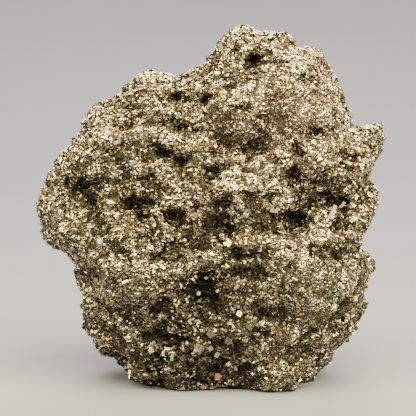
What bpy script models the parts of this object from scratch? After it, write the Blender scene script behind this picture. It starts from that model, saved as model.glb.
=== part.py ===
"""Pyrite specimen: a hand-sized lump of massive pyrite, crusted all over with small intergrown cubes.

It is one piece. A lofted body gives its outline and bulk, swellings and hollows are pushed in and out of
its skin, cubes are fused to it, and it stands on the flat where it broke off the rock.
+X is to the right of the display face, -Y is in front of it, and +Z is up. The origin is on the resting flat.
"""

import math
import random

import bmesh
import bpy
import numpy as np
from mathutils import Matrix, Quaternion, Vector, noise
from mathutils.bvhtree import BVHTree

MM = 0.001

# Bulk, in millimetres.
FRONT_DEPTH = 45.0
BACK_DEPTH = 38.0
BODY_PIVOT = (2.0, 38.0)  # x and z that the sections shrink towards
SECTION_FULLNESS = 0.78  # below 1 the display face is flatter than an ellipse
SECTIONS_EACH_WAY = 9
OUTLINE_STEPS = 220
SKIN_VOXEL = 1.4
LEDGE_SKEW = 1.7  # how much steeper a swelling is below, and a hollow above
OVERSHOOT = 0.15  # share of a swelling at the rim that is left standing past the outline
RIM_MARGIN = 0.9  # the outline includes the thinnest crust of crystals, and the skin stops short of it
RIM_DENTS = (8.0, 4.2)  # hollows all round the rim: how far apart and how deep
SKIN_TRIANGLES = 3700
REST_CUT_DEPTH = 40.0

# Lumpiness that has no name of its own: (size of the lumps, height), in millimetres.
ROUGHNESS = ((16.0, 1.9), (7.0, 1.3), (3.6, 0.6))

RIM_CALM = 0.5  # how much of it is left round the outline, where the display face turns into the back

# Large single crystals on the display face, with a side turned to the front: across, up, and size.
FACE_CUBES = (
    (-4, 19, 3.8), (1, 24, 3.0), (3, 18, 2.8), (8, 22, 3.2), (8, 10, 2.8), (3, 6, 3.0), (-40, 58, 2.8),
    (-19, 28, 4.2), (-23, 15, 4.4), (-24, 94, 3.8), (-33, 90, 3.2), (54, 85, 4.8), (53, 79, 4.0),
    (-14, 15, 3.2), (-5, 45, 2.8), (7, 58, 2.8), (38, 76, 3.0), (20, 122, 2.8),
)
FACE_CUBE_TILT = 16.0  # degrees either way from square on

# Cubes big enough to tell apart at arm's length. Each younger one grows against an older one.
OLD_CUBES = 146
YOUNG_CUBES = 76
CUBE_SMALLEST = 2.4
CUBE_LARGEST = 4.2
YOUNG_SHARE = 0.72  # a young cube's size beside its neighbour's
CUBE_FLOOR_CLEARANCE = 4.0
CUBE_OVERHANG = 0.4  # of a cube's size past the outline
CUBE_SEED = 11

PYRITE_COLOUR = (0.56, 0.47, 0.29, 1.0)
PYRITE_ROUGHNESS = 0.32

# The widest section, seen from the front: x and z in millimetres, clockwise from the left lobe. It runs on
# below z = 0, where the specimen is cut off flat.
OUTLINE = (
    (-69, 71), (-67, 76.5), (-65.5, 79.5), (-63, 84.5), (-59.5, 89), (-58, 91), (-55.5, 91), (-51.5, 95),
    (-51.5, 99), (-49.5, 103), (-47, 108.5), (-45, 109.5), (-42, 109.5), (-37.5, 112), (-32.5, 117.5),
    (-29, 119), (-27, 122.5), (-18.5, 123), (-15, 120), (-9.5, 119.5), (-7, 123), (-5.5, 124), (-3.5, 123),
    (-1.5, 124.5), (-1, 127.5), (1, 127.5), (4, 133), (5, 136), (9, 139.5), (11.5, 141), (13.5, 141.5),
    (17, 138), (21, 136.5), (22.5, 138), (25.5, 138), (32, 136), (34, 133), (35.5, 131), (40, 132.5),
    (43, 132), (45, 131), (45, 128.5), (49, 125), (51, 119.5), (53.5, 113), (57, 107), (58.5, 101),
    (59.5, 100), (65, 100.5), (67, 101), (69, 100.5), (70.5, 98.5), (69.5, 96), (70.5, 95), (70, 92.5),
    (68, 89.5), (66, 87), (65, 82), (65.5, 79), (65, 76.5), (68, 73.5), (68.5, 65), (65, 62), (64.5, 59.5),
    (63.5, 57.5), (60, 53.5), (59.5, 51.5), (60.5, 50), (65.5, 46.5), (67.5, 44.5), (68.5, 42), (68, 39.5),
    (64.5, 38), (64, 35), (61.5, 28), (60, 25), (62, 20.5), (59, 15.5), (54.5, 10.5), (47, 4.5), (44, -1),
    (38, -9), (20, -12), (-18, -12), (-31, -7), (-33, 2.5), (-35.5, 4.5), (-41, 5.5), (-45.5, 10),
    (-47, 14), (-50, 17.5), (-48, 21), (-50, 30), (-51, 36.5), (-53.5, 44), (-59, 50), (-63, 53.5),
    (-65, 53), (-67.5, 55.5), (-69, 58), (-68, 64.5), (-69, 68),
)

# Rounded masses that stand out of the body, such as lobes and feet: centre x, y, z, then half sizes.
KNOBS = (
    (-23, -22, 7, 10, 11, 8),
    (25, -27, 8, 15, 14, 11),
    (4, -24, 5, 18, 9, 7),
    (-56, -4, 70, 11, 17, 15),
    (-52, 16, 62, 13, 13, 17),
    (-36, 18, 94, 15, 13, 14),
    (-20, -8, 112, 10, 12, 8),
    (13, -4, 130, 8, 10, 8.5),
    (31, 5, 121, 13, 16, 9),
    (61, -3, 93, 7, 9, 6),
    (53, -8, 78, 11, 13, 9),
    (56, 12, 66, 8, 11, 12),
    (58, -3, 43, 7.5, 9, 5),
    (47, -14, 33, 15, 17, 20),
    (46, 14, 30, 13, 12, 14),
    (-36, -14, 34, 15, 17, 19),
    (-34, 15, 26, 15, 12, 15),
    (6, 26, 84, 24, 10, 22),
    (24, 22, 54, 20, 12, 16),
    (-22, 24, 52, 17, 11, 15),
    (10, 20, 12, 26, 12, 13),
)

# Swellings (height above 0) and hollows (below 0) of each side. Each row is the place on that side, across
# and up, its half width and half height, how far it is turned in degrees, and its height.
RELIEF = {
    "front": (
        (30, 114, 27, 21, -20, 5.5), (11, 133, 10, 8, 0, 3.0), (18, 125, 11, 6, 10, -4.5),
        (8, 116, 5, 3.6, 0, -2.5), (12, 107, 12, 5, 4, 3.5), (16, 94, 15, 7, -14, -3.0),
        (11, 78, 17, 7, 6, 6.5), (5, 64, 13, 4.5, 0, -3.0), (-16, 60, 11, 4, -6, 3.5),
        (-16, 53, 14, 5, -4, -3.0), (-41, 93, 19, 6.5, 10, 6.0), (-48, 75, 9, 12, 0, -6.5),
        (-27, 72, 10, 6.5, -8, -4.0), (-13, 68, 7, 5, 0, -3.5), (-14, 90, 10, 4.2, -14, -4.5),
        (-10, 100, 5, 4, 0, -2.5), (33, 66, 8, 6.5, 35, -8.0), (39, 73, 10, 4.5, 50, -5.0),
        (49, 73, 12, 4.5, -6, -4.5), (33, 83, 4.5, 8, 0, -3.0), (55, 83, 10, 8, 0, 6.0),
        (44, 59, 13, 5.5, 6, 5.0), (13, 57, 13, 4.5, 0, 4.5), (37, 40, 23, 25, 0, 8.0),
        (-1, 37, 11, 19, 6, -7.0), (-3, 45, 5, 5.5, 0, -3.0), (-28, 43, 22, 20, 0, 7.0),
        (7, 19, 8, 8, 0, -4.0), (14, 10, 5.5, 5, 0, -4.0), (-17, 21, 13, 5.5, 0, -3.5),
        (-23, 7, 13, 6.5, 0, 4.0), (-36, 10, 8, 5.5, -20, -5.0), (41, 99, 4.5, 4, 0, -3.0),
        (55, 89, 4.5, 4, 0, -3.0), (28, 50, 4.5, 4, 0, -2.5), (33, 92, 4.5, 4, 0, -2.5),
        (-32, 108, 6, 4.5, 0, -3.0), (-12, 112, 5, 4, 0, -2.5), (-1, 111, 6, 4, 0, -3.0),
        (32, 24, 15, 5, 10, 3.5), (49, 64, 6, 5, 0, -3.5), (60, 48, 7, 5, 0, 3.5),
        (-61, 67, 7, 13, 0, 3.5), (-37, 108, 8, 7, 0, 3.5), (-25, 96, 10, 4.5, -6, 4.5),
        (-4, 93, 9, 5.5, 0, 4.0), (0, 85, 6, 4, 0, -3.0), (24, 32, 9, 4, 12, -2.5),
        (-34, 59, 10, 4.5, 14, 4.5), (45, 31, 9, 4, 20, -2.5),
    ),
    "back": (
        (-28, 108, 15, 9, 12, 5.0), (-30, 94, 14, 7, 8, -7.0), (4, 118, 20, 9, -6, 5.5),
        (8, 103, 13, 6, 0, -7.5), (36, 98, 14, 12, 0, 5.0), (40, 80, 11, 7, -10, -8.0),
        (10, 84, 18, 9, 6, 6.5), (-14, 74, 9, 8, 0, -8.0), (-44, 74, 13, 10, 0, 5.5),
        (-38, 58, 12, 6, 10, -7.5), (24, 64, 14, 7, 0, 6.0), (6, 54, 12, 7, 0, -8.5),
        (-22, 42, 16, 10, 0, 6.5), (-36, 26, 9, 6, 0, -6.0), (42, 46, 13, 10, 0, 5.0),
        (22, 36, 11, 8, 0, -7.5), (44, 24, 9, 6, 0, -5.0), (4, 20, 20, 8, 0, 5.0),
        (-14, 100, 5, 4, 0, -4.5), (26, 116, 5, 4, 0, -4.5), (52, 62, 5, 6, 0, -4.5),
        (-54, 88, 6, 5, 0, -4.0), (-6, 34, 5, 5, 0, -5.5), (30, 10, 8, 5, 0, -4.0),
    ),
    "left": (
        (-14, 84, 9, 7, 0, 3.0), (8, 70, 9, 8, 0, -5.0), (16, 92, 10, 6, 0, 3.5), (-12, 46, 8, 6, 0, -4.0),
        (14, 44, 10, 8, 0, 4.0), (-10, 26, 10, 6, 0, 2.5), (16, 24, 7, 6, 0, -4.0), (12, 104, 6, 5, 0, -4.0),
    ),
    "right": (
        (-12, 60, 7, 5, 0, -4.0), (13, 80, 8, 7, 0, -5.0), (14, 46, 9, 8, 0, 4.0), (-12, 26, 8, 6, 0, -3.5),
        (15, 24, 9, 7, 0, 4.0), (16, 104, 10, 7, 0, 4.0), (-10, 108, 7, 6, 0, -3.5), (14, 64, 6, 5, 0, -3.5),
    ),
    "top": (
        (-34, 12, 9, 8, 0, -4.0), (-10, 13, 7, 8, 0, -4.5), (28, -14, 8, 6, 0, -3.0), (24, 15, 10, 7, 0, 3.0),
        (-22, 16, 8, 6, 0, 3.0), (52, 12, 6, 8, 0, -3.0),
    ),
}

# Each side's outward direction, then its own across and up directions.
SIDES = {
    "front": ((0, -1, 0), (1, 0, 0), (0, 0, 1)),
    "back": ((0, 1, 0), (1, 0, 0), (0, 0, 1)),
    "left": ((-1, 0, 0), (0, 1, 0), (0, 0, 1)),
    "right": ((1, 0, 0), (0, 1, 0), (0, 0, 1)),
    "top": ((0, 0, 1), (1, 0, 0), (0, 1, 0)),
}


def clear_scene():
    for obj in list(bpy.data.objects):
        bpy.data.objects.remove(obj, do_unlink=True)


def link(name, mesh):
    obj = bpy.data.objects.new(name, mesh)
    bpy.context.scene.collection.objects.link(obj)
    return obj


def helper(name, mesh):
    """An object that only shapes another one."""
    obj = link(name, mesh)
    obj.hide_render = True
    obj.display_type = "WIRE"
    return obj


def evaluated_mesh(obj):
    """The object's mesh with its modifiers worked out."""
    bpy.context.view_layer.update()
    return bpy.data.meshes.new_from_object(obj.evaluated_get(bpy.context.evaluated_depsgraph_get()))


def even_steps(points, count):
    """The closed line through points, cut into count equal lengths."""
    line = np.array([*points, points[0]], float)
    run = np.concatenate([[0.0], np.cumsum(np.linalg.norm(np.diff(line, axis=0), axis=1))])
    at = np.linspace(0.0, run[-1], count, endpoint=False)
    return np.column_stack([np.interp(at, run, line[:, 0]), np.interp(at, run, line[:, 1])])


def softened(loop, passes):
    """The closed line with its corners rounded off."""
    for _ in range(passes):
        loop = (np.roll(loop, 1, axis=0) + 2.0 * loop + np.roll(loop, -1, axis=0)) / 4.0
    return loop


def body_mesh():
    """The outline lofted forwards and backwards, each section smaller and rounder than the last."""
    crisp = even_steps(OUTLINE, OUTLINE_STEPS)
    soft = softened(crisp, 90)
    pivot = np.array(BODY_PIVOT)
    shape = bmesh.new()
    rings = []
    for k in range(-SECTIONS_EACH_WAY, SECTIONS_EACH_WAY + 1):
        turn = math.radians(84.0) * k / SECTIONS_EACH_WAY
        depth = FRONT_DEPTH if k < 0 else BACK_DEPTH
        share = abs(math.sin(turn))
        section = pivot + ((1.0 - share) * crisp + share * soft - pivot) * math.cos(turn) ** SECTION_FULLNESS
        rings.append([shape.verts.new((x * MM, depth * math.sin(turn) * MM, z * MM)) for x, z in section])
    for near, far in zip(rings, rings[1:]):
        for i in range(OUTLINE_STEPS):
            j = (i + 1) % OUTLINE_STEPS
            shape.faces.new((near[i], near[j], far[j], far[i]))
    shape.faces.new(rings[0])
    shape.faces.new(rings[-1])
    bmesh.ops.recalc_face_normals(shape, faces=shape.faces)
    return shape


def add_knobs(shape):
    for x, y, z, across, deep, high in KNOBS:
        size = Matrix.Diagonal((across * MM, deep * MM, high * MM, 1))
        place = Matrix.Translation(Vector((x, y, z)) * MM) @ size
        bmesh.ops.create_icosphere(shape, subdivisions=3, radius=1.0, matrix=place)


def one_skin(shape):
    """The body and its knobs as one closed skin of small even faces."""
    mesh = bpy.data.meshes.new("bulk")
    shape.to_mesh(mesh)
    shape.free()
    bulk = helper("bulk", mesh)
    fuse = bulk.modifiers.new("fuse", "REMESH")
    fuse.mode = "VOXEL"
    fuse.voxel_size = SKIN_VOXEL * MM
    ease = bulk.modifiers.new("ease", "SMOOTH")
    ease.factor = 0.5
    ease.iterations = 3
    skin = evaluated_mesh(bulk)
    bpy.data.objects.remove(bulk)
    return skin


def relief_heights(points, normals, side):
    """How far each point moves out, from the swellings and hollows of one side. All in millimetres."""
    outward, across, up = (np.array(axis, float) for axis in SIDES[side])
    facing = np.clip((normals @ outward - 0.25) * 2.0, 0.0, 1.0)
    heights = np.zeros(len(points))
    for at_across, at_up, half_width, half_height, turn, height in RELIEF[side]:
        c, s = math.cos(math.radians(turn)), math.sin(math.radians(turn))
        right = points @ across - at_across
        above = points @ up - at_up
        u = (right * c + above * s) / half_width
        v = (above * c - right * s) / half_height
        steep = v < 0 if height > 0 else v > 0
        v = np.where(steep, v * LEDGE_SKEW, v)
        heights += height * np.clip(1.0 - u * u - v * v, 0.0, 1.0) ** 1.5
    return heights * facing


def roughness_height(point):
    """Unnamed lumps at a point in millimetres, from three sizes of noise."""
    return sum(high * noise.noise(Vector(point) / size) * 2.0 for size, high in ROUGHNESS)


def outline_reach(x, z):
    """How far the outline is from the pivot in the direction of each x and z."""
    around = even_steps(OUTLINE, 4 * OUTLINE_STEPS) - np.array(BODY_PIVOT)
    turns = np.arctan2(around[:, 1], around[:, 0])
    order = np.argsort(turns)
    asked = np.arctan2(z - BODY_PIVOT[1], x - BODY_PIVOT[0])
    return np.interp(asked, turns[order], np.hypot(around[:, 0], around[:, 1])[order], period=math.tau)


def kept_to_outline(points):
    """The points with whatever stands past the outline, seen from the front, pulled most of the way in."""
    x, z = points[:, 0], points[:, 2]
    out = np.hypot(x - BODY_PIVOT[0], z - BODY_PIVOT[1])
    apart, deep = RIM_DENTS
    dents = np.array([deep * max(0.0, noise.noise(Vector(point) / apart)) for point in points])
    reach = outline_reach(x, z) - RIM_MARGIN - dents
    share = np.where(out > reach, (reach + OVERSHOOT * (out - reach)) / np.maximum(out, 1.0), 1.0)
    kept = points.copy()
    kept[:, 0] = BODY_PIVOT[0] + (x - BODY_PIVOT[0]) * share
    kept[:, 2] = BODY_PIVOT[1] + (z - BODY_PIVOT[1]) * share
    return kept


def sculpt(skin):
    """Pushes the swellings, hollows and roughness out of the skin along its normals."""
    count = len(skin.vertices)
    points = np.empty(count * 3, np.float32)
    normals = np.empty(count * 3, np.float32)
    skin.vertices.foreach_get("co", points)
    skin.vertex_normals.foreach_get("vector", normals)
    points = points.reshape(-1, 3).astype(float) / MM
    normals = normals.reshape(-1, 3).astype(float)
    heights = sum(relief_heights(points, normals, side) for side in SIDES)
    calm = RIM_CALM + (1.0 - RIM_CALM) * np.clip(np.abs(normals[:, 1]) * 1.6, 0.0, 1.0)
    heights += calm * np.array([roughness_height(point) for point in points])
    skin.vertices.foreach_set("co", (kept_to_outline(points + normals * heights[:, None]) * MM).ravel())
    skin.update()


def coarse_lump(skin):
    """The sculpted skin as flat facets of a few millimetres."""
    lump = helper("lump", skin)
    evened = lump.modifiers.new("evened", "REMESH")
    evened.mode = "VOXEL"
    evened.voxel_size = SKIN_VOXEL * MM
    facets = lump.modifiers.new("facets", "DECIMATE")
    facets.ratio = SKIN_TRIANGLES / triangle_count(evaluated_mesh(lump))
    facets.use_collapse_triangulate = True
    mesh = evaluated_mesh(lump)
    bpy.data.objects.remove(lump)
    return mesh


def triangle_count(mesh):
    return sum(len(face.vertices) - 2 for face in mesh.polygons)


def random_turn(chance):
    """An evenly random rotation."""
    a, b, c = chance.random(), chance.random() * math.tau, chance.random() * math.tau
    low, high = math.sqrt(1.0 - a), math.sqrt(a)
    return Quaternion((low * math.sin(b), low * math.cos(b), high * math.sin(c), high * math.cos(c)))


def cube_mesh(name, cubes):
    """A mesh of separate cubes, each given by its centre, size and rotation."""
    shape = bmesh.new()
    for centre, size, turn in cubes:
        bmesh.ops.create_cube(shape, size=size, matrix=Matrix.Translation(centre) @ turn.to_matrix().to_4x4())
    mesh = bpy.data.meshes.new(name)
    shape.to_mesh(mesh)
    shape.free()
    return mesh


def clear_of(centre, size, others):
    """Whether a cube can't touch any of the others, however they are turned."""
    return all((centre - other).length > 0.88 * (size + width) for other, width, _ in others)


def welcome(centre, size, others):
    """Whether a cube is off the floor, inside the outline and clear of the others."""
    x, z = centre.x / MM, centre.z / MM
    past = math.hypot(x - BODY_PIVOT[0], z - BODY_PIVOT[1]) - outline_reach(x, z)
    low = z < CUBE_FLOOR_CLEARANCE
    return not low and past < (CUBE_OVERHANG - 0.5) * size / MM and clear_of(centre, size, others)


def face_cubes(ground, chance):
    """The large crystals that show a side to the front."""
    placed = []
    for x, z, size in FACE_CUBES:
        foot, normal, _, _ = ground.ray_cast(Vector((x, -100, z)) * MM, Vector((0, 1, 0)))
        spin = Quaternion((0, 1, 0), math.radians(chance.uniform(0, 90)))
        tilt = Quaternion((1, 0, 0), math.radians(chance.uniform(-FACE_CUBE_TILT, FACE_CUBE_TILT)))
        yaw = Quaternion((0, 0, 1), math.radians(chance.uniform(-FACE_CUBE_TILT, FACE_CUBE_TILT)))
        placed.append((foot + normal * 0.1 * size * MM, size * MM, yaw @ tilt @ spin))
    return placed


def old_cubes(mesh, chance, placed):
    """More cubes, half sunk in the lump wherever chance puts them, kept apart from each other."""
    mesh.calc_loop_triangles()
    faces = list(mesh.loop_triangles)
    areas = [face.area for face in faces]
    placed = list(placed)
    while len(placed) < OLD_CUBES + len(FACE_CUBES):
        face = chance.choices(faces, areas)[0]
        size = (CUBE_SMALLEST + (CUBE_LARGEST - CUBE_SMALLEST) * chance.random() ** 2) * MM
        sunk = size * chance.uniform(-0.08, 0.18)
        centre = sum((mesh.vertices[i].co for i in face.vertices), Vector()) / 3.0 - face.normal * sunk
        if welcome(centre, size, placed):
            placed.append((centre, size, random_turn(chance)))
    return placed


def young_cubes(ground, chance, old):
    """Smaller cubes grown into the sides of older ones, and also sunk in the lump."""
    placed = []
    while len(placed) < YOUNG_CUBES:
        beside, width, _ = chance.choice(old)
        size = max(YOUNG_SHARE * width * chance.uniform(0.8, 1.15), 0.85 * CUBE_SMALLEST * MM)
        away = Vector((chance.gauss(0, 1), chance.gauss(0, 1), chance.gauss(0, 1))).normalized()
        foot, normal, _, _ = ground.find_nearest(beside + away * 0.62 * (width + size))
        centre = foot + normal * size * chance.uniform(-0.15, 0.1)
        if 0.4 < (centre - beside).length / (width + size) < 0.62 and welcome(centre, size, placed):
            placed.append((centre, size, random_turn(chance)))
    return placed


def floor_block():
    """What the resting flat is cut with: its top is z = 0."""
    shape = bmesh.new()
    size = Matrix.Diagonal((0.3, 0.3, REST_CUT_DEPTH * MM, 1))
    place = Matrix.Translation((0, 0, -0.5 * REST_CUT_DEPTH * MM)) @ size
    bmesh.ops.create_cube(shape, size=1.0, matrix=place)
    block = bpy.data.meshes.new("floor_block")
    shape.to_mesh(block)
    shape.free()
    return block


def pyrite():
    material = bpy.data.materials.new("pyrite")
    material.use_nodes = True
    shader = material.node_tree.nodes["Principled BSDF"]
    shader.inputs["Base Color"].default_value = PYRITE_COLOUR
    shader.inputs["Metallic"].default_value = 1.0
    shader.inputs["Roughness"].default_value = PYRITE_ROUGHNESS
    return material


def boolean(obj, name, operation, other):
    step = obj.modifiers.new(name, "BOOLEAN")
    step.operation = operation
    step.solver = "EXACT"
    step.object = other


def main():
    clear_scene()
    shape = body_mesh()
    add_knobs(shape)
    skin = one_skin(shape)
    sculpt(skin)
    lump = coarse_lump(skin)
    ground = BVHTree.FromPolygons([v.co for v in lump.vertices], [tuple(f.vertices) for f in lump.polygons])
    chance = random.Random(CUBE_SEED)
    old = old_cubes(lump, chance, face_cubes(ground, chance))
    young = young_cubes(ground, chance, old[len(FACE_CUBES) :])
    cluster = link("pyrite_cluster", lump)
    cluster.data.materials.clear()
    cluster.data.materials.append(pyrite())
    boolean(cluster, "old cubes", "UNION", helper("old_cubes", cube_mesh("old_cubes", old)))
    boolean(cluster, "young cubes", "UNION", helper("young_cubes", cube_mesh("young_cubes", young)))
    boolean(cluster, "resting flat", "DIFFERENCE", helper("floor_block", floor_block()))


main()
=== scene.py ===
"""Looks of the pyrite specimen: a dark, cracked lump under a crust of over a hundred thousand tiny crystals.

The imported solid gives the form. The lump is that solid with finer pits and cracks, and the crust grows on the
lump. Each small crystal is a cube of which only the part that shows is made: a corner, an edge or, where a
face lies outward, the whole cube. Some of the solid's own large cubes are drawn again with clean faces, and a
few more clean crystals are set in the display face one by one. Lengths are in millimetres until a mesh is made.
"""

import math

import bpy
import numpy as np
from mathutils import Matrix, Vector, noise


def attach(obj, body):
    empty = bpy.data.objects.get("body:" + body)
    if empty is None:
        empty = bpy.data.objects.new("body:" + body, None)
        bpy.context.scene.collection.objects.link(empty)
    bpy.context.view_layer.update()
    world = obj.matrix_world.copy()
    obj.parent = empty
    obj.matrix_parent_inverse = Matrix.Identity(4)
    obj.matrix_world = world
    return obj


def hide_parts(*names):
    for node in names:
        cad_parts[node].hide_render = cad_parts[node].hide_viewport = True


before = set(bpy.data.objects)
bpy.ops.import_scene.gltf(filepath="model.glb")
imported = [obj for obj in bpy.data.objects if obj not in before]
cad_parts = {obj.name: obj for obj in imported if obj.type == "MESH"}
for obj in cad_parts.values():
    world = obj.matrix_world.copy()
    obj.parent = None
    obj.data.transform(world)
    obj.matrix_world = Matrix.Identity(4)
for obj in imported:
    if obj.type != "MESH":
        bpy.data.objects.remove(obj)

MM = 0.001
SEED = 7

# The photograph's view.
ELEVATION = 6.0
DISTANCE = 600.0
TARGET_Z = 66.7
FOCAL_PIXELS = 1500.0
FRAME_PIXELS = 416
SENSOR = 36.0

# Meshes as arrays -------------------------------------------------------------------------------------------


def arrays(mesh):
    """The mesh as welded points in millimetres and triangles."""
    mesh.calc_loop_triangles()
    points = np.empty(len(mesh.vertices) * 3, np.float32)
    mesh.vertices.foreach_get("co", points)
    tris = np.empty(len(mesh.loop_triangles) * 3, np.int32)
    mesh.loop_triangles.foreach_get("vertices", tris)
    points = points.reshape(-1, 3).astype(float) / MM
    _, first, index = np.unique(np.round(points, 3), axis=0, return_index=True, return_inverse=True)
    tris = index.reshape(-1)[tris].reshape(-1, 3)
    good = (tris[:, 0] != tris[:, 1]) & (tris[:, 1] != tris[:, 2]) & (tris[:, 2] != tris[:, 0])
    return points[first], tris[good]


def unit(v):
    return v / np.maximum(np.linalg.norm(v, axis=-1, keepdims=True), 1e-12)


def face_normals(points, tris):
    a, b, c = (points[tris[:, k]] for k in range(3))
    return np.cross(b - a, c - a)


def point_normals(points, tris):
    total = np.zeros_like(points)
    weighted = face_normals(points, tris)
    for k in range(3):
        np.add.at(total, tris[:, k], weighted)
    return unit(total)


def neighbours_mean(values, edges, count):
    total = np.zeros_like(values)
    np.add.at(total, edges[:, 0], values[edges[:, 1]])
    np.add.at(total, edges[:, 1], values[edges[:, 0]])
    return total / count[:, None]


def smoothed_points(points, tris, passes):
    edges = np.unique(np.sort(np.concatenate([tris[:, :2], tris[:, 1:], tris[:, ::2]]), axis=1), axis=0)
    count = np.bincount(edges.ravel(), minlength=len(points)).clip(1)
    for _ in range(passes):
        points = 0.4 * points + 0.6 * neighbours_mean(points, edges, count)
    return points


def noise_at(points, size, shift=0.0):
    """Smooth noise, about -0.7 to 0.7, whose lumps are about size apart."""
    return np.array([noise.noise(Vector(p)) for p in points / size + shift])


def make_mesh(name, points, loops, starts):
    mesh = bpy.data.meshes.new(name)
    mesh.vertices.add(len(points))
    mesh.vertices.foreach_set("co", (points * MM).astype(np.float32).ravel())
    mesh.loops.add(len(loops))
    mesh.loops.foreach_set("vertex_index", loops.astype(np.int32))
    mesh.polygons.add(len(starts))
    mesh.polygons.foreach_set("loop_start", starts.astype(np.int32))
    mesh.update(calc_edges=True)
    mesh.shade_flat()
    return mesh


def link(name, mesh):
    piece = bpy.data.objects.new(name, mesh)
    bpy.context.scene.collection.objects.link(piece)
    return piece


# The solid's large cubes ------------------------------------------------------------------------------------

# The clean ones on the display face: x, z and base colour. The crust covers the others.
CLEAN_IN_FRONT = (
    (-4, 19, (0.88, 0.74, 0.60)), (1, 24, (0.30, 0.25, 0.19)), (8, 22, (0.21, 0.23, 0.19)),
    (3, 6, (0.42, 0.22, 0.18)), (7, 58, (0.70, 0.50, 0.24)), (-33, 90, (0.44, 0.37, 0.26)),
    (-40, 58, (0.62, 0.70, 0.62)),
)
ON_FACE_Y = -10.0  # the solid's cubes in front of this are on the display face
CLEAN_BEHIND_Y = 8.0
CLEAN_BEHIND_SHARE = 0.2  # share of the cubes behind CLEAN_BEHIND_Y that are clean too
CLEAN_SIZE = 0.8  # beside the solid's cubes
CLEAN_TILT = 0.16  # how far a clean cube is turned from the solid's, as parts of a quaternion
SQUARE_ON_Y = -20.0  # a clean cube in front of this shows a face to the front
MIDDLE = (0, 0, 65)  # of the specimen, which the other clean cubes face away from
CLEAN_ROUGHNESS = 0.18
STUBS = 3  # smaller crystals grown into each clean one


def cube_corners(points, tris):
    """(place, three outward axes) of each point where three faces meet square, as at the corner of a cube."""
    normals = unit(face_normals(points, tris))
    around = [[] for _ in points]
    for t, corners in enumerate(tris):
        for p in corners:
            around[p].append(t)
    found = []
    for p, faces in enumerate(around):
        axes = []
        for t in faces:
            if all(normals[t] @ axis < 0.999 for axis in axes):
                axes.append(normals[t])
        if len(axes) != 3:
            continue
        a, b, c = axes
        if max(abs(a @ b), abs(b @ c), abs(c @ a)) < 0.02:
            # The faces of an outward corner all lie behind the point.
            others = points[np.unique(tris[faces])] - points[p]
            if (others @ np.array(axes).T).max() < 0.02:
                found.append((points[p], np.array(axes)))
    return found


def cubes_of(points, tris):
    """(centre, size, axes) of each cube fused to the solid, from the corners that show."""
    cubes = []
    corners = cube_corners(points, tris)
    used = [False] * len(corners)
    for i, (place, axes) in enumerate(corners):
        if used[i]:
            continue
        sizes, mates = [], [i]
        for j, (other, other_axes) in enumerate(corners):
            apart = other - place
            if j == i or used[j] or not 1.5 < np.linalg.norm(apart) < 10.0:
                continue
            match = other_axes @ axes.T  # rows: the other's axes, columns: this one's
            if np.abs(np.abs(match).max(axis=1) - 1.0).max() > 0.003:
                continue
            # Along each axis the corners are level where the faces point alike, and one size apart if not.
            alike = match[np.abs(match).argmax(axis=0), range(3)] > 0
            steps = axes @ apart
            spans = -steps[~alike]
            if alike.all() or np.abs(steps[alike]).max(initial=0.0) > 0.03 or np.ptp(spans) > 0.05:
                continue
            if 1.8 < spans.mean() < 6.0:
                sizes.append(spans.mean())
                mates.append(j)
        if sizes:
            size = float(np.median(sizes))
            centre = place - axes.sum(axis=0) * size / 2
            for j in mates:
                used[j] = True
            cubes.append((centre, size, axes))
    return cubes


def clean_cubes(cubes, chance):
    """The cubes that no crust covers, as (centre, size, axes, base colour or None)."""
    centres = np.array([centre for centre, _, _ in cubes])
    colours = {}
    for x, z, colour in CLEAN_IN_FRONT:
        apart = np.hypot(centres[:, 0] - x, centres[:, 2] - z)
        colours[int(np.where(centres[:, 1] > ON_FACE_Y, np.inf, apart).argmin())] = colour
    behind = centres[:, 1] > CLEAN_BEHIND_Y
    for k in np.nonzero(behind & (chance.random(len(cubes)) < CLEAN_BEHIND_SHARE))[0]:
        colours.setdefault(int(k), None)
    return [(*cubes[k], colours[k]) for k in sorted(colours)]


def in_cubes(points, cubes, margin):
    """Which cube each point is in or within margin of, or -1."""
    where = np.full(len(points), -1)
    for k, (centre, size, axes, _) in enumerate(cubes):
        near = np.nonzero(np.abs(points - centre).max(axis=1) < size + margin)[0]
        inside = np.abs((points[near] - centre) @ axes.T).max(axis=1) < size / 2 + margin
        where[near[inside]] = k
    return where


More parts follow.
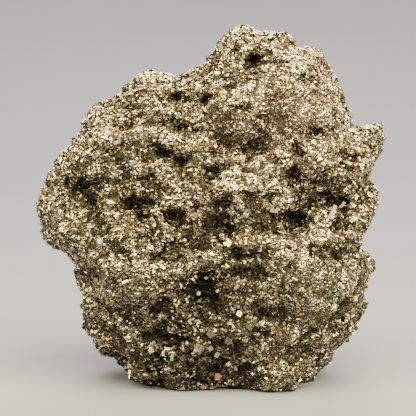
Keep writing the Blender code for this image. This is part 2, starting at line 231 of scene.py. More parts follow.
# Crystals that stand out on the display face though the solid has none there: x, z, width, length, lean of
# the length from level in degrees, base colour, and whether the face glints.
SET_IN_FRONT = (
    (0.6, 17.5, 1.9, 1.9, 25, (0.90, 0.90, 0.82), True), (2.7, 15, 1.8, 2.4, 60, (0.46, 0.50, 0.40), False),
    (-1.2, 43.6, 1.2, 1.3, 20, (0.92, 0.92, 0.86), True), (3, 39, 1.2, 1.5, 50, (0.80, 0.80, 0.72), False),
    (-3, 37.5, 1.1, 1.6, 70, (0.74, 0.80, 0.70), True), (-12.7, 26, 1.2, 1.5, 40, (0.72, 0.80, 0.70), True),
    (-22, 20, 1.5, 1.7, 80, (0.50, 0.58, 0.58), False), (-14.2, 15, 1.2, 3.2, 85, (0.62, 0.66, 0.54), False),
    (7.8, 11, 1.5, 1.8, 30, (0.70, 0.80, 0.72), True), (13.3, 14.5, 1.2, 1.4, 10, (0.56, 0.62, 0.62), False),
    (10.6, 40.8, 1.4, 1.8, 60, (0.66, 0.52, 0.42), False),
    (6.8, 22.5, 1.0, 1.1, 35, (0.62, 0.34, 0.28), False),
    (-2.3, 30, 0.9, 1.2, 50, (0.56, 0.30, 0.25), False), (-6, 17, 1.2, 2.6, 40, (0.50, 0.44, 0.36), False),
    (47, 69, 1.6, 6.4, 62, (0.66, 0.56, 0.44), True), (50.5, 70.5, 1.2, 5.0, 52, (0.80, 0.72, 0.56), False),
    (55, 65.7, 1.3, 2.3, 50, (0.86, 0.80, 0.66), True), (-34, 94, 1.3, 2.6, 20, (0.84, 0.76, 0.58), True),
    (-28, 88, 1.3, 3.0, 30, (0.66, 0.56, 0.40), False), (20, 80, 1.2, 2.0, 30, (0.80, 0.72, 0.54), True),
    (25, 69.5, 1.5, 3.2, -10, (0.80, 0.74, 0.58), False), (-28, 52, 1.4, 1.7, 15, (0.84, 0.76, 0.54), True),
    (-41, 57.5, 1.9, 1.9, 25, (0.74, 0.84, 0.76), True), (6, 108, 1.5, 1.6, 30, (0.90, 0.86, 0.76), True),
    (-4, 96, 1.3, 1.4, 50, (0.92, 0.88, 0.78), True), (13, 126, 1.1, 1.6, 20, (0.66, 0.74, 0.62), False),
)
GLINT = (0.18, -0.97, 0.16)  # the way a face looks that mirrors the light
GLINT_STRAY = 0.05  # how far each glinting face strays from it
GLINT_TONE = 0.34  # a glinting face is darker by itself, so that the light in it isn't burnt out
DULL = (0.02, -0.97, -0.22)  # the way a face looks that mirrors the floor
DULL_STRAY = 0.1
SET_SIZE = 0.88  # of all these crystals beside their sizes above
SET_RISE = 0.3  # how far a crystal's middle stands off the lump, in its widths
SET_REACH = 1.2  # each sits on the foremost point of the lump within this distance of its x and z
FACES_FRONT = -0.1  # y of a normal on the display face is less than this


def set_crystals(points, normals, chance):
    """Centres, sizes, axes and base colours of the crystals set in the display face."""
    found = []
    for x, z, width, length, lean, colour, glints in SET_IN_FRONT:
        apart = np.hypot(points[:, 0] - x, points[:, 2] - z)
        near = np.nonzero((apart < SET_REACH) & (normals[:, 1] < FACES_FRONT))[0]
        if not len(near):
            continue
        place = points[near[points[near, 1].argmin()]]
        stray = chance.normal(0.0, GLINT_STRAY if glints else DULL_STRAY, 3)
        out = unit(np.array(GLINT if glints else DULL) + stray)
        along = np.array((math.cos(math.radians(lean)), 0.0, math.sin(math.radians(lean))))
        along = unit(along - out * (along @ out))
        axes = np.stack([out, along, np.cross(out, along)], axis=-1)
        tint = np.array(colour) * (GLINT_TONE if glints else 1.0)
        size = SET_SIZE * np.array((width, length, width))
        found.append((place + out * SET_RISE * width, size, axes, tint))
    return tuple(np.array(values) for values in zip(*found))


# Zones of the display face ----------------------------------------------------------------------------------

# Places on the display face where the crystals are finer or coarser: x, z, half width, half height, and size
# beside that of the crystals in general.
GRAIN = (
    (32, 113, 24, 18, 0.78), (38, 38, 24, 24, 0.82), (12, 100, 16, 10, 0.8), (18, 123, 13, 8, 1.12),
    (-5, 22, 24, 22, 1.2), (-30, 40, 20, 20, 1.05), (0, 66, 34, 10, 1.08), (48, 70, 16, 10, 1.12),
    (-45, 74, 14, 12, 1.05), (-20, 98, 20, 12, 1.0),
)
GRAIN_OFF_FRONT = 1.8  # the size of the crystals behind the rim
GRAIN_WANDER = 0.25  # how far the size strays by itself

# Places on it with painted light and shade and another tint: x, z, half width, half height, brightness, which
# is painted light above 1 and painted shade below 1, rosiness, and how much more of the crystals are greenish
# and copper-coloured.
PAINTED_LIGHT_AND_TINTS = (
    (38, 110, 24, 20, 1.3, 0.5, 0.0), (56, 86, 14, 14, 1.3, 0.3, 0.0), (-60, 78, 8, 14, 1.1, 0.0, 0.0),
    (-40, 92, 14, 8, 1.35, 0.0, 0.0), (-37, 34, 13, 8, 1.35, 0.0, 0.0), (2, 62, 9, 6, 1.2, 0.3, 0.0),
    (-28, 20, 7, 6, 1.2, 0.0, 0.0), (32, 19, 9, 8, 1.25, 0.0, 0.0), (60, 61, 7, 7, 0.8, 0.0, 0.0),
    (-52, 60, 9, 9, 1.0, -1.0, 0.5), (9, 73, 9, 4, 1.15, 0.3, 0.0), (20, 96, 12, 8, 0.8, 1.6, 0.0),
    (-28, 76, 12, 8, 0.78, 1.0, 0.2), (-46, 77, 9, 9, 0.62, -0.5, 0.5), (-14, 70, 18, 9, 0.85, 0.3, 0.4),
    (17, 125, 10, 6, 0.78, -0.5, 0.4), (34, 67, 9, 8, 0.65, 0.0, 0.4), (-36, 30, 16, 20, 1.0, 0.0, 0.3),
    (-8, 16, 26, 20, 0.62, -0.5, 1.0), (4, 38, 12, 16, 0.65, 0.3, 0.6),
    (12, 42, 12, 6, 0.8, 0.3, 0.2), (14, 22, 9, 6, 0.75, -0.6, 0.6),
)
ROSE = (1.02, 0.975, 1.0)  # tint of a rosiness of 1
PAINTED_LIGHT_FROM_ABOVE = 0.5  # painted light and shade: the tops of knobs and ledges are painted lighter than their undersides
TONE_WANDER = 0.12  # how far the tone strays by itself over a centimetre or so


def face_weight(points, normals, x, z, half_width, half_height, power=1.0):
    """How strongly each point is in an oval of the display face, 0 to 1."""
    front = np.clip(-normals[:, 1] * 2.5, 0.0, 1.0)
    apart = ((points[:, 0] - x) / half_width) ** 2 + ((points[:, 2] - z) / half_height) ** 2
    return front * np.exp(-(apart**power))


def grain_at(points, normals):
    """The size of the crystals at each point, beside their size in general."""
    size = 1.0 + (GRAIN_OFF_FRONT - 1.0) * np.clip(0.8 + normals[:, 1] * 2.5, 0.0, 1.0)
    for x, z, half_width, half_height, grain in GRAIN:
        weight = face_weight(points, normals, x, z, half_width, half_height, 2.0)
        size = size * (1 - weight) + grain * weight
    return size * (1.0 + GRAIN_WANDER * noise_at(points, 9.0, 300.0))


def tints_and_painted_light_at(points, normals):
    """Tint with painted light and shade, and share of greenish and copper-coloured crystals, at each point."""
    # Painted light on tops and painted shade on undersides, times a tone that strays at random.
    bright = (1.0 + TONE_WANDER * noise_at(points, 11.0, 500.0)) * np.exp(PAINTED_LIGHT_FROM_ABOVE * normals[:, 2])
    rosy = noise_at(points, 14.0, 540.0)
    mixed = np.zeros(len(points))
    for x, z, half_width, half_height, factor, rosiness, colourful in PAINTED_LIGHT_AND_TINTS:
        weight = face_weight(points, normals, x, z, half_width, half_height, 1.5)
        # Each zone's brightness paints light or shade onto the tint.
        bright *= 1.0 - (1.0 - factor) * weight
        rosy += rosiness * weight
        mixed = np.maximum(mixed, colourful * weight)
    return bright[:, None] * np.array(ROSE) ** rosy[:, None], mixed


# The lump ---------------------------------------------------------------------------------------------------

LUMP_VOXEL = 1.3  # of the remesh

# Gaps of the display face that the solid is too coarse for: x, z, half width, half height, depth.
FRONT_GAPS = (
    (18, 124, 3.0, 2.0, 2.2), (21, 122, 2.0, 1.4, 1.8), (8, 116, 2.0, 1.4, 2.2), (-10, 100, 2.2, 1.6, 2.2),
    (-17, 91, 4.6, 1.3, 2.8), (-11, 88.5, 3.6, 1.2, 2.8), (-20, 93, 2.2, 1.2, 2.0), (-32, 108, 2.0, 1.4, 2.0),
    (-12, 112, 1.8, 1.4, 2.0), (-24.5, 114.5, 2.2, 1.6, 2.0), (8, 46, 12.0, 1.3, 2.0),
    (10, 118, 2.2, 1.3, 1.8), (-1, 111, 2.4, 1.2, 2.0), (12, 108, 2.6, 1.0, 1.8), (6, 94, 2.0, 1.0, 1.6),
    (41, 99, 1.9, 1.4, 3.0), (55, 89, 1.6, 1.6, 2.2), (34, 92, 1.8, 1.5, 1.8), (15, 93, 5.0, 1.4, 1.6),
    (33, 83, 1.5, 3.4, 2.2), (32, 66, 4.0, 3.0, 2.6), (38, 72, 3.0, 2.0, 2.2), (42, 75, 3.0, 1.3, 2.0),
    (50, 72, 6.0, 1.4, 2.2), (49, 64, 2.4, 1.5, 2.2), (1, 85, 3.0, 1.3, 2.0),
    (-28, 72, 3.4, 1.8, 2.4), (-24, 68, 2.6, 1.5, 2.0), (-13, 67, 2.8, 1.7, 2.4), (-48, 78, 2.6, 3.0, 1.8),
    (-45, 72, 3.0, 2.0, 1.8), (-37, 74, 2.2, 1.5, 1.8), (-3, 45, 1.6, 2.4, 2.0), (-5, 36, 1.4, 2.6, 1.4),
    (4, 29, 1.6, 2.2, 1.4), (7, 21, 2.2, 2.4, 2.0), (14, 11, 2.6, 2.2, 2.8), (11, 16, 1.8, 2.0, 2.2),
    (-36, 10, 3.4, 1.8, 2.2), (-31, 46, 1.8, 1.3, 1.6), (-21, 32, 2.0, 1.2, 1.6), (-6, 55, 2.6, 1.0, 1.6),
    (-16, 54, 2.6, 1.2, 1.8), (26, 33, 2.2, 1.2, 1.6), (30, 50, 1.8, 1.2, 1.6), (20, 24, 2.4, 1.2, 1.6),
)
GAP_WANDER = 1.4  # how far a gap's edge strays from an oval
GAP_DEPTH = 1.15  # of every gap beside its depth above

BEDDED = (0.87, 0.87, 1.3)  # the relief is a little stretched along its faint level bedding
SWELLS = ((1.1, 11.0, 60.0), (1.2, 6.5, 0.0), (0.6, 3.0, 40.0))  # height, size and shift of the noise
PIT_DEPTH = 2.4
# Winding cracks: depth, size of the winding, half width, size and share of the stretches that are open, and
# the shifts of the two noises.
CRACKS = ((1.9, 8.5, 0.075, 15.0, 0.35, 140.0, 200.0), (1.1, 4.6, 0.09, 9.0, 0.1, 240.0, 260.0))
CLUMP = 3.8  # how far apart the small knots of crystals are
CLUMP_DEPTH = 0.9
HIGHEST = 0.4  # the most that the relief adds to the solid
BASE_CALM = 3.0  # the relief fades out towards the base over this height
CUBE_MARGIN = 0.4  # points of the lump this close to a clean cube count as under it
CUBE_SINK = 0.26  # the lump is drawn in under a clean cube by this share of the cube's size


def clump_borders(points):
    """1 on the borders of the cells of a rough foam of unit size, falling to 0 inside them."""
    nearest = np.array([noise.voronoi(Vector(p))[0][:2] for p in points])
    return np.clip(1.0 - (nearest[:, 1] - nearest[:, 0]) / 0.3, 0.0, 1.0)


def carving(points, normals):
    """Height to add at each point of the lump: small swellings, pits, winding cracks and the front's gaps."""
    rough = np.clip((grain_at(points, normals) - 0.6) / 0.5, 0.35, 1.3)
    bedded = points * BEDDED
    swells = sum(most * noise_at(bedded, size, shift) for most, size, shift in SWELLS)
    height = (0.3 + 0.7 * rough) * swells - 0.2
    height -= PIT_DEPTH * rough * np.clip(noise_at(bedded, 6.0, 90.0) - 0.2, 0.0, 1.0)
    for depth, winding, half_width, stretch, share, shift, stretch_shift in CRACKS:
        crack = np.clip(1.0 - np.abs(noise_at(bedded, winding, shift)) / half_width, 0.0, 1.0)
        gaping = np.clip(2.5 * noise_at(bedded, stretch, stretch_shift) + share, 0.0, 1.0)
        height -= depth * rough * crack * gaping
    strayed = points.copy()
    strayed[:, 0] += GAP_WANDER * noise_at(points, 3.4, 400.0)
    strayed[:, 2] += GAP_WANDER * noise_at(points, 3.4, 440.0)
    for x, z, half_width, half_height, depth in FRONT_GAPS:
        height -= GAP_DEPTH * depth * face_weight(strayed, normals, x, z, half_width, half_height, 1.3)
    height -= CLUMP_DEPTH * rough * clump_borders(bedded / CLUMP)
    return np.minimum(height, HIGHEST)


def lump_shape(cad, cubes):
    """Points and triangles of the solid with finer pits, drawn in under its large cubes."""
    copy = link("lump_draft", cad.data.copy())
    fine = copy.modifiers.new("fine", "REMESH")
    fine.mode = "VOXEL"
    fine.voxel_size = LUMP_VOXEL * MM
    bpy.context.view_layer.update()
    points, tris = arrays(copy.evaluated_get(bpy.context.evaluated_depsgraph_get()).to_mesh())
    bpy.data.objects.remove(copy)
    normals = point_normals(points, tris)
    height = carving(points, normals) * np.clip(points[:, 2] / BASE_CALM, 0.0, 1.0)
    within = in_cubes(points, cubes, CUBE_MARGIN)
    height = np.where(within >= 0, -CUBE_SINK * np.array([size for _, size, _, _ in cubes])[within], height)
    points = points + normals * height[:, None]
    points[:, 2] = np.maximum(points[:, 2], 0.0)
    return points, tris


def hollowness(points, tris):
    """How far each point lies below its surroundings, 0 on a crest and 1 deep in a gap."""
    normals = point_normals(points, tris)
    near = smoothed_points(points, tris, 10)
    far = smoothed_points(near, tris, 70)
    sunk = ((near - points) * normals).sum(axis=1) + ((far - points) * normals).sum(axis=1) * 0.6
    return np.clip(0.3 + 0.6 * sunk, 0.0, 1.0)


# The crust --------------------------------------------------------------------------------------------------

GRID = 0.61  # about one crystal in each cell of the surface
GRID_STEP = 1.15  # each coarser grid is this much coarser than the last
TRIES = 9.0  # places tried on each square millimetre, more than the grid has cells
LARGEST, LARGEST_SHARE = 2.2, 0.003  # beside the crystals in general
LARGER, LARGER_SHARE = 1.6, 0.02  # the share counts the largest too
COARSE = 1.3  # where the crystals are this coarse none is larger than the rest
LONGEST = 2.2  # mm, the most that a side of a crystal of the crust has
PARALLEL_SHARE = 0.5  # of the crystals stand square with the others of their patch
PATCH = 2.4
PATCH_TONE = 0.25  # how far the tone strays from patch to patch
SLIM_SHARE = 0.5  # of the crystals are longer one way, mostly along the bedding
FLATNESS = 0.35  # how much lower than wide they are
BURIED_PAINTED_SHADE = (0.36, 0.32, 0.29)  # painted shade: tint of a crystal's buried end beside its tip, darker down among its neighbours
BRIGHTEST = 0.96  # the most that a channel of a base colour has
ROUGHNESS, ROUGHNESS_SPREAD = 0.165, 0.05
SMOOTHEST, ROUGHEST = 0.09, 0.4
SUNK_ROUGHNESS = 0.12  # added deep in a gap
CRUST_PIECES = (
    "crust_front_left", "crust_front_right", "crust_back_left", "crust_back_right",
    "crust_top_left", "crust_top_right",
)
CRUST_TOP = 98.0  # the top pieces start at this height


def template(points, faces, outer):
    """A convex shape's points, its faces as rings that turn outward, and how bright each point is painted.

    Its outer points keep the crystal's tint, and the others, down among the neighbours, are painted darker as
    shade.
    """
    points = np.array(points, float)
    # Painted shade: 1 at the outer points and the buried end's darker tint at the others.
    clean = np.where(np.isin(np.arange(len(points)), outer)[:, None], 1.0, BURIED_PAINTED_SHADE)
    middle = points.mean(axis=0)
    rings = []
    for ring in faces:
        a, b, c = points[list(ring[:3])]
        rings.append(ring if np.cross(b - a, c - a) @ (a - middle) > 0 else ring[::-1])
    return points, rings, clean


# A cube centred on its middle, a cube's edge along z, and a cube's corner. The last two hold only what lies
# behind the edge or corner as far as a slanted base.
CUBE = template(
    [(x, y, z) for x in (-0.5, 0.5) for y in (-0.5, 0.5) for z in (-0.5, 0.5)],
    [(0, 1, 3, 2), (4, 6, 7, 5), (0, 4, 5, 1), (2, 3, 7, 6), (0, 2, 6, 4), (1, 5, 7, 3)],
    (4, 5, 6, 7),
)
EDGE = template(
    [(0, 0, -0.5), (0, 0, 0.5), (-1, 0, -0.5), (-1, 0, 0.5), (0, -1, -0.5), (0, -1, 0.5)],
    [(0, 1, 3, 2), (0, 1, 5, 4), (2, 3, 5, 4), (0, 2, 4), (1, 3, 5)],
    (0, 1),
)
CORNER = template(
    [(0, 0, 0), (-1, 0, 0), (0, -1, 0), (0, 0, -1)], [(0, 1, 2), (0, 2, 3), (0, 3, 1), (1, 2, 3)], (0,)
)
SHAPES = (CUBE, EDGE, CORNER)
WHOLE = 0  # the place of CUBE among them
# For each shape: how long its sides are beside its cell, as a part of a cube needs longer ones to fill it,
# and the least and most that its origin rises off the lump, beside its size.
REACH = np.array([1.0, 1.05, 1.3])
LEAST_RISE = np.array([-0.15, 0.25, 0.22])
MOST_RISE = np.array([0.25, 0.62, 0.55])
FACE_OUT = 0.965  # a cube with a face that looks outward this much is made whole
EDGE_LEVEL = 0.13  # and one whose third axis looks outward less than this shows an edge

UV_COLUMNS, UV_ROWS = 3, 2  # the faces of one crystal share a cell of the map, cut up like this
UV_INSET = 0.12


def turns_to_axes(q):
    """Rotation matrices of quaternions."""
    w, x, y, z = unit(q).T
    return np.stack(
        [
            np.stack([1 - 2 * (y * y + z * z), 2 * (x * y - z * w), 2 * (x * z + y * w)], -1),
            np.stack([2 * (x * y + z * w), 1 - 2 * (x * x + z * z), 2 * (y * z - x * w)], -1),
            np.stack([2 * (x * z - y * w), 2 * (y * z + x * w), 1 - 2 * (x * x + y * y)], -1),
        ],
        -2,
    )


def ring_uvs(face, ring):
    """Where a face's corners lie in its crystal's cell, 0 to 1."""
    square = np.array([(0, 0), (1, 0), (1, 1), (0, 1)])[: len(ring)]
    inset = UV_INSET + (1 - 2 * UV_INSET) * square
    return (inset + (face % UV_COLUMNS, face // UV_COLUMNS)) / (UV_COLUMNS, UV_ROWS)


def crystals_mesh(name, crystals):
    """One mesh of closed crystals, with a tint and a roughness, and a map with a cell for each crystal.

    The roughness is in the attribute named gloss.
    """
    kinds, origins, sizes, axes, tints, rough = crystals
    per_row = math.ceil(math.sqrt(len(kinds)))
    points, loops, totals, uvs, colours, shine = [], [], [], [], [], []
    before = 0
    for kind, (corners, rings, clean) in enumerate(SHAPES):
        mine = np.nonzero(kinds == kind)[0]
        placed = np.einsum("nij,nkj->nki", axes[mine], corners[None] * sizes[mine][:, None, :])
        points.append((placed + origins[mine][:, None]).reshape(-1, 3))
        order = np.concatenate([np.array(ring) for ring in rings])
        loops.append((order[None] + before + len(corners) * np.arange(len(mine))[:, None]).ravel())
        totals.append(np.tile([len(ring) for ring in rings], len(mine)))
        cell = np.stack([mine % per_row, mine // per_row], -1)
        here = np.concatenate([ring_uvs(face, ring) for face, ring in enumerate(rings)])
        uvs.append(((cell[:, None] + here[None]) / per_row).reshape(-1, 2))
        # Each point's tint times its painted shade, darker at the crystal's buried end.
        colours.append((tints[mine][:, None] * clean[None]).reshape(-1, 3))
        shine.append(np.repeat(rough[mine], len(corners)))
        before += len(mine) * len(corners)
    totals = np.concatenate(totals)
    starts = np.concatenate([[0], np.cumsum(totals)[:-1]])
    mesh = make_mesh(name, np.concatenate(points), np.concatenate(loops), starts)
    mesh.uv_layers.new(name="OFBake").data.foreach_set("uv", np.concatenate(uvs).astype(np.float32).ravel())
    rgba = np.ones((before, 4), np.float32)
    rgba[:, :3] = np.concatenate(colours)
    mesh.attributes.new("tint", "FLOAT_COLOR", "POINT").data.foreach_set("color", rgba.ravel())
    shine = np.concatenate(shine).astype(np.float32)
    mesh.attributes.new("gloss", "FLOAT", "POINT").data.foreach_set("value", shine)
    return mesh


def scattered(points, tris, hollow, chance):
    """Places, normals, hollowness and grain, about one in each cell of a grid as coarse as the crystals."""
    weighted = face_normals(points, tris)
    areas = np.linalg.norm(weighted, axis=1) / 2
    smooth = point_normals(points, tris)
    tries = int(areas.sum() * TRIES)
    face = chance.choice(len(tris), tries, p=areas / areas.sum())
    u, v = chance.random(tries), chance.random(tries)
    over = u + v > 1
    u[over], v[over] = 1 - u[over], 1 - v[over]
    mix = np.stack([1 - u - v, u, v], -1)
    places = (points[tris[face]] * mix[..., None]).sum(axis=1)
    normals = unit((smooth[tris[face]] * mix[..., None]).sum(axis=1))
    sunk = (hollow[tris[face]] * mix).sum(axis=1)
    coarse = grain_at(points, smooth)
    grain = (coarse[tris[face]] * mix).sum(axis=1)
    step = np.round(np.log(grain) / np.log(GRID_STEP)).astype(int)
    cell = np.floor(places / (GRID * GRID_STEP ** step[:, None])).astype(int)
    _, first = np.unique(np.column_stack([step, cell]), axis=0, return_index=True)
    first = np.sort(first)
    return places[first], normals[first], sunk[first], grain[first]


# Share, share where the crust is colourful, and base colour.
PALETTE = (
    (0.58, 0.46, (0.548, 0.458, 0.428)),
    (0.20, 0.10, (0.76, 0.655, 0.350)),
    (0.10, 0.16, (0.34, 0.280, 0.215)),
    (0.05, 0.05, (0.92, 0.810, 0.410)),
    (0.02, 0.04, (0.46, 0.330, 0.240)),
    (0.05, 0.14, (0.37, 0.400, 0.280)),
    (0.01, 0.06, (0.35, 0.400, 0.360)),
)
DULLNESS = 0.56  # how far the crystals differ in brightness, as a power of e
DULLEST, CLEANEST = 0.15, 1.35
TARNISH = (1.0, 1.05, 1.2)  # powers of that brightness for red, green and blue, so a dull crystal is browner


def tints_for(mixed, chance):
    """A base colour for each crystal."""
    plain = np.cumsum([row[0] for row in PALETTE])
    colourful = np.cumsum([row[1] for row in PALETTE])
    edges = (1 - mixed[:, None]) * plain / plain[-1] + mixed[:, None] * colourful / colourful[-1]
    picked = (chance.random(len(mixed))[:, None] > edges).sum(axis=1).clip(0, len(PALETTE) - 1)
    colours = np.array([row[2] for row in PALETTE])[picked]
    clean = np.exp(chance.normal(0.0, DULLNESS, (len(mixed), 1))).clip(DULLEST, CLEANEST)
    return colours * clean ** np.array(TARNISH)


def facing(axes, normals):
    """How each cube with these axes shows on a surface: its shape, and its axes, the most outward first."""
    outward = np.einsum("nij,ni->nj", axes, normals)
    axes = axes * np.where(outward < 0, -1.0, 1.0)[:, None, :]
    outward = np.abs(outward)
    # Columns in falling order of how far they point outward, so an edge's own axis comes last.
    order = np.argsort(-outward, axis=1)
    axes = np.take_along_axis(axes, order[:, None, :], axis=2)
    outward = np.take_along_axis(outward, order, axis=1)
    kinds = np.where(outward[:, 0] > FACE_OUT, WHOLE, np.where(outward[:, 2] < EDGE_LEVEL, 1, 2))
    # A mirrored turn is set right by swapping the first two, which both point outward.
    mirrored = np.linalg.det(axes) < 0
    axes[mirrored] = axes[mirrored][:, :, [1, 0, 2]]
    return kinds, axes


def crust(points, tris, hollow, cubes, chance):
    """Every small crystal: shapes, origins, sizes, axes, tints and roughness, and where each is rooted."""
    places, normals, sunk, grain = scattered(points, tris, hollow, chance)
    clear = (in_cubes(places, cubes, -0.15) < 0) & (places[:, 2] > 0.5)
    places, normals, sunk, grain = places[clear], normals[clear], sunk[clear], grain[clear]
    count = len(places)
    # Neighbours often grow parallel, in patches.
    patch = np.floor(places / PATCH + 0.35 * chance.random((count, 3))).astype(np.int64)
    _, patch = np.unique(patch, axis=0, return_inverse=True)
    patch = patch.reshape(-1)
    shared = chance.normal(size=(patch.max() + 1, 4))
    turns = np.where(
        (chance.random(count) < PARALLEL_SHARE)[:, None],
        unit(shared)[patch] + chance.normal(0.0, 0.07, (count, 4)),
        chance.normal(size=(count, 4)),
    )
    kinds, axes = facing(turns_to_axes(turns), normals)
    wide = grain * GRID * chance.uniform(0.75, 1.3, count)
    luck = chance.random(count)
    chances = [grain > COARSE, luck < LARGEST_SHARE, luck < LARGER_SHARE]
    large = np.select(chances, [1.0, LARGEST, LARGER], 1.0)
    kinds[large == LARGEST] = WHOLE
    wide *= large
    sizes = (wide * REACH[kinds])[:, None] * chance.uniform(0.8, 1.2, (count, 3))
    slim = np.nonzero(chance.random(count) < SLIM_SHARE)[0]
    sizes[slim] *= 0.82
    out = np.abs(np.einsum("nij,ni->nj", axes[slim], normals[slim]))
    level = np.argmin(np.abs(axes[slim, 2, :]) + 2.0 * out + chance.uniform(0.0, 0.6, (len(slim), 3)), axis=1)
    sizes[slim, level] *= chance.uniform(1.4, 2.7, len(slim))
    sizes = np.minimum(sizes * (1.1 - FLATNESS * axes[:, 2, :] ** 2), LONGEST)
    lift = chance.random(count)
    rise = LEAST_RISE[kinds] + (MOST_RISE[kinds] - LEAST_RISE[kinds]) * lift
    rise = rise * (0.4 * sizes.mean(axis=1) + 0.6 * sizes.min(axis=1))
    origins = places + normals * rise[:, None]
    # None reaches below the flat base.
    low = origins[:, 2] - 0.9 * sizes.max(axis=1)
    origins[:, 2] += np.where(places[:, 2] < 3.0, np.maximum(0.05 - low, 0.0), 0.0)
    # The low crystals and those in hollows are painted darker as shade, and the tones add their painted light
    # and shade.
    tone, mixed = tints_and_painted_light_at(places, normals)
    tone *= np.exp(chance.normal(0.0, PATCH_TONE, patch.max() + 1))[patch, None]
    painted_shade = (1.0 - sunk * (0.4 + 0.52 * chance.random(count) ** 0.6)) * (0.45 + 0.67 * lift)
    tints = tints_for(mixed, chance) * tone * painted_shade[:, None]
    tints *= BRIGHTEST / np.maximum(tints.max(axis=1, keepdims=True), BRIGHTEST)
    rough = np.clip(chance.normal(ROUGHNESS, ROUGHNESS_SPREAD, count), SMOOTHEST, ROUGHEST)
    return (kinds, origins, sizes, axes, tints, rough + SUNK_ROUGHNESS * sunk), places


def with_stubs(centres, sizes, axes, tints, chance):
    """The crystals with smaller ones grown parallel into each, which step its faces and edges."""
    many = (len(centres), STUBS, 3)
    offsets = chance.uniform(-0.42, 0.42, many) * sizes[:, None]
    small = sizes[:, None] * chance.uniform(0.3, 0.55, many)
    small[..., 0] = sizes[:, None, 0] * chance.uniform(0.5, 0.75, many[:2])
    offsets[..., 0] = sizes[:, None, 0] * chance.uniform(0.1, 0.3, many[:2])
    moved = centres[:, None] + np.einsum("nij,nkj->nki", axes, offsets)
    darker = tints[:, None] * chance.uniform(0.6, 1.0, (len(tints), STUBS, 1))
    return (
        np.concatenate([centres, moved.reshape(-1, 3)]),
        np.concatenate([sizes, small.reshape(-1, 3)]),
        np.concatenate([axes, axes.repeat(STUBS, axis=0)]),
        np.concatenate([tints, darker.reshape(-1, 3)]),
    )


def large_crystals(cubes, points, tris, chance):
    """The clean cubes, the crystals set in the display face and the stubs in both, as crust gives its own."""
    centres, big, axes, named = zip(*cubes)
    centres = np.array(centres)
    axes = np.array(axes).transpose(0, 2, 1)
    axes[np.linalg.det(axes) < 0] *= -1.0
    axes = turns_to_axes(chance.normal(0.0, CLEAN_TILT, (len(cubes), 4)) + (1, 0, 0, 0)) @ axes
    outward = unit(centres - MIDDLE)
    _, axes = facing(axes, np.where(centres[:, 1:2] < SQUARE_ON_Y, (0.0, -1.0, 0.0), outward))
    # The clean cubes get the same painted light and shade as the crust.
    tone, mixed = tints_and_painted_light_at(centres, outward)
    tints = tints_for(mixed, chance) * tone
    for k, colour in enumerate(named):
        if colour is not None:
            tints[k] = colour
    sizes = (np.array(big) * CLEAN_SIZE)[:, None].repeat(3, axis=1)
    by_hand = set_crystals(points, point_normals(points, tris), chance)
    both = (np.concatenate(pair) for pair in zip((centres, sizes, axes, tints), by_hand))
    centres, sizes, axes, tints = with_stubs(*both, chance)
    kinds = np.full(len(centres), WHOLE)
    return kinds, centres, sizes, axes, tints, np.full(len(centres), CLEAN_ROUGHNESS)


def picked(crystals, chosen):
    return tuple(values[chosen] for values in crystals)


# Materials --------------------------------------------------------------------------------------------------


def material(name, metallic, roughness):
    made = bpy.data.materials.new(name)
    made.use_nodes = True
    nodes, links = made.node_tree.nodes, made.node_tree.links
    shader = nodes["Principled BSDF"]
    shader.inputs["Metallic"].default_value = metallic
    shader.inputs["Roughness"].default_value = roughness
    return made, nodes, links, shader


def crystal_material():
    """Brassy metal in each crystal's tint, which holds painted light and shade, with a little tarnish."""
    made, nodes, links, shader = material("pyrite_crystals", 1.0, 0.2)
    tint = nodes.new("ShaderNodeAttribute")
    tint.attribute_name = "tint"
    tarnish = nodes.new("ShaderNodeTexNoise")
    tarnish.inputs["Scale"].default_value = 700.0
    tarnish.inputs["Detail"].default_value = 3.0
    shade = nodes.new("ShaderNodeValToRGB")
    shade.color_ramp.elements[0].position = 0.3
    shade.color_ramp.elements[0].color = (0.60, 0.57, 0.50, 1)
    shade.color_ramp.elements[1].position = 0.6
    shade.color_ramp.elements[1].color = (1, 1, 1, 1)
    both = nodes.new("ShaderNodeMix")
    both.data_type = "RGBA"
    both.blend_type = "MULTIPLY"
    both.inputs["Factor"].default_value = 1.0
    links.new(tarnish.outputs["Fac"], shade.inputs["Fac"])
    links.new(tint.outputs["Color"], both.inputs["A"])
    links.new(shade.outputs["Color"], both.inputs["B"])
    links.new(both.outputs["Result"], shader.inputs["Base Color"])
    gloss = nodes.new("ShaderNodeAttribute")
    gloss.attribute_name = "gloss"
    links.new(gloss.outputs["Fac"], shader.inputs["Roughness"])
    return made


def lump_material():
    made, nodes, links, shader = material("pyrite_matrix", 0.6, 0.6)
    shade = nodes.new("ShaderNodeTexNoise")
    shade.inputs["Scale"].default_value = 420.0
    ramp = nodes.new("ShaderNodeValToRGB")
    ramp.color_ramp.elements[0].color = (0.013, 0.009, 0.005, 1)
    ramp.color_ramp.elements[1].color = (0.062, 0.045, 0.026, 1)
    links.new(shade.outputs["Fac"], ramp.inputs["Fac"])
    links.new(ramp.outputs["Color"], shader.inputs["Base Color"])
    return made


def backdrop_material():
    made, nodes, links, shader = material("pale_floor", 0.0, 0.8)
    shader.inputs["Base Color"].default_value = (0.217, 0.225, 0.290, 1)
    return made


# The studio -------------------------------------------------------------------------------------------------

BOWL_FLAT = 0.45
BOWL_BEND = 1.6
BOWL_TOP = 2.2
BOWL_STEPS = 72
AIM = (0, 0, 0.07)  # metres, as the lamps' places and sizes are
SOFT_EDGE = 125.0  # degrees, so that a lamp's light ends softly on the wall


def camera():
    tilt = math.radians(ELEVATION)
    data = bpy.data.cameras.new("camera")
    data.sensor_width = SENSOR
    data.lens = SENSOR * FOCAL_PIXELS / FRAME_PIXELS
    data.clip_start = 0.01
    seen = bpy.data.objects.new("camera", data)
    seen.location = (0, -DISTANCE * math.cos(tilt) * MM, (TARGET_Z + DISTANCE * math.sin(tilt)) * MM)
    seen.rotation_euler = (math.pi / 2 - tilt, 0, 0)
    bpy.context.scene.collection.objects.link(seen)
    bpy.context.scene.camera = seen


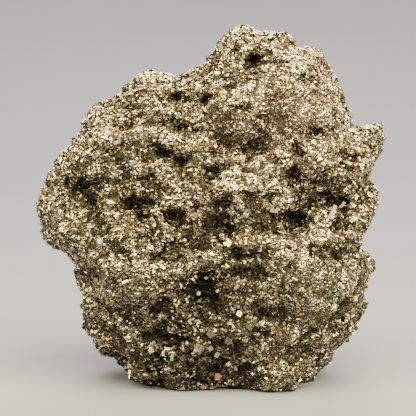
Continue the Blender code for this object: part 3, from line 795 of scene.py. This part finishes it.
def backdrop():
    """A round floor that curves up into a wall on every side, so no edge of it shows."""
    bends = [math.radians(a) for a in range(0, 91, 9)]
    profile = [(BOWL_FLAT + BOWL_BEND * math.sin(a), BOWL_BEND * (1 - math.cos(a))) for a in bends]
    profile.append((BOWL_FLAT + BOWL_BEND, BOWL_TOP))
    points, faces = [(0, 0, 0)], []
    for radius, height in profile:
        for k in range(BOWL_STEPS):
            around = math.tau * k / BOWL_STEPS
            points.append((radius * math.cos(around), radius * math.sin(around), height))
    for k in range(BOWL_STEPS):
        after = (k + 1) % BOWL_STEPS
        faces.append((0, 1 + k, 1 + after))
        for ring in range(len(profile) - 1):
            low, high = 1 + ring * BOWL_STEPS, 1 + (ring + 1) * BOWL_STEPS
            faces.append((low + k, high + k, high + after, low + after))
    mesh = bpy.data.meshes.new("floor")
    mesh.from_pydata(points, [], faces)
    mesh.shade_smooth()
    floor = link("floor", mesh)
    floor.data.materials.append(backdrop_material())


def softbox(name, place, wide, high, radiance, colour, spread=180.0):
    """A lamp aimed at the specimen. Spread is in degrees, and a narrower lamp is brighter straight ahead."""
    data = bpy.data.lights.new(name, "AREA")
    data.shape = "RECTANGLE"
    data.size, data.size_y = wide, high
    data.energy = math.pi * wide * high * radiance
    data.color = colour
    data.spread = math.radians(spread)
    lamp = bpy.data.objects.new(name, data)
    lamp.location = place
    aim = Vector(AIM) - lamp.location
    lamp.rotation_euler = aim.to_track_quat("-Z", "Y").to_euler()
    lamp.visible_camera = False
    bpy.context.scene.collection.objects.link(lamp)


def studio():
    backdrop()
    softbox("above", (0.05, -0.36, 0.80), 0.95, 0.74, 16.0, (1.0, 0.95, 0.53))
    softbox("left", (-0.80, -0.32, 0.42), 0.44, 0.6, 6.5, (1.0, 0.955, 0.54), SOFT_EDGE)
    softbox("right", (0.76, -0.40, 0.40), 0.5, 0.6, 10.1, (1.0, 0.95, 0.53), SOFT_EDGE)
    softbox("front", (0.35, -0.90, 0.28), 0.43, 0.35, 4.4, (1.0, 0.955, 0.54), SOFT_EDGE)
    softbox("behind", (0.05, 1.30, 0.64), 1.05, 0.9, 6.5, (1.0, 0.96, 0.88), SOFT_EDGE)
    world = bpy.data.worlds.new("studio")
    world.use_nodes = True
    world.node_tree.nodes["Background"].inputs["Color"].default_value = (0.36, 0.31, 0.23, 1)
    world.node_tree.nodes["Background"].inputs["Strength"].default_value = 0.2
    bpy.context.scene.world = world


# Putting it together ----------------------------------------------------------------------------------------


def piece_of(name, mesh, finish):
    mesh.materials.append(finish)
    piece = link(name, mesh)
    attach(piece, "root")
    return piece


def main():
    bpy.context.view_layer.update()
    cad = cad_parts["pyrite_cluster"]
    chance = np.random.default_rng(SEED)
    cubes = clean_cubes(cubes_of(*arrays(cad.data)), chance)
    points, tris = lump_shape(cad, cubes)
    lump_mesh = make_mesh("lump", points, tris.ravel(), np.arange(0, tris.size, 3))
    lump_mesh.shade_smooth()
    lump = piece_of("lump", lump_mesh, lump_material())
    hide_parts("pyrite_cluster")

    finish = crystal_material()
    crystals, places = crust(points, tris, hollowness(points, tris), cubes, chance)
    level = np.where(places[:, 2] > CRUST_TOP, 2, (places[:, 1] > np.median(places[:, 1])).astype(int))
    middle = np.array([np.median(places[level == k, 0]) for k in range(3)])
    part = 2 * level + (places[:, 0] > middle[level])
    for k, name in enumerate(CRUST_PIECES):
        piece_of(name, crystals_mesh(name, picked(crystals, part == k)), finish)

    large = large_crystals(cubes, points, tris, chance)
    piece_of("large_crystals", crystals_mesh("large_crystals", large), finish)

    camera()
    studio()


main()
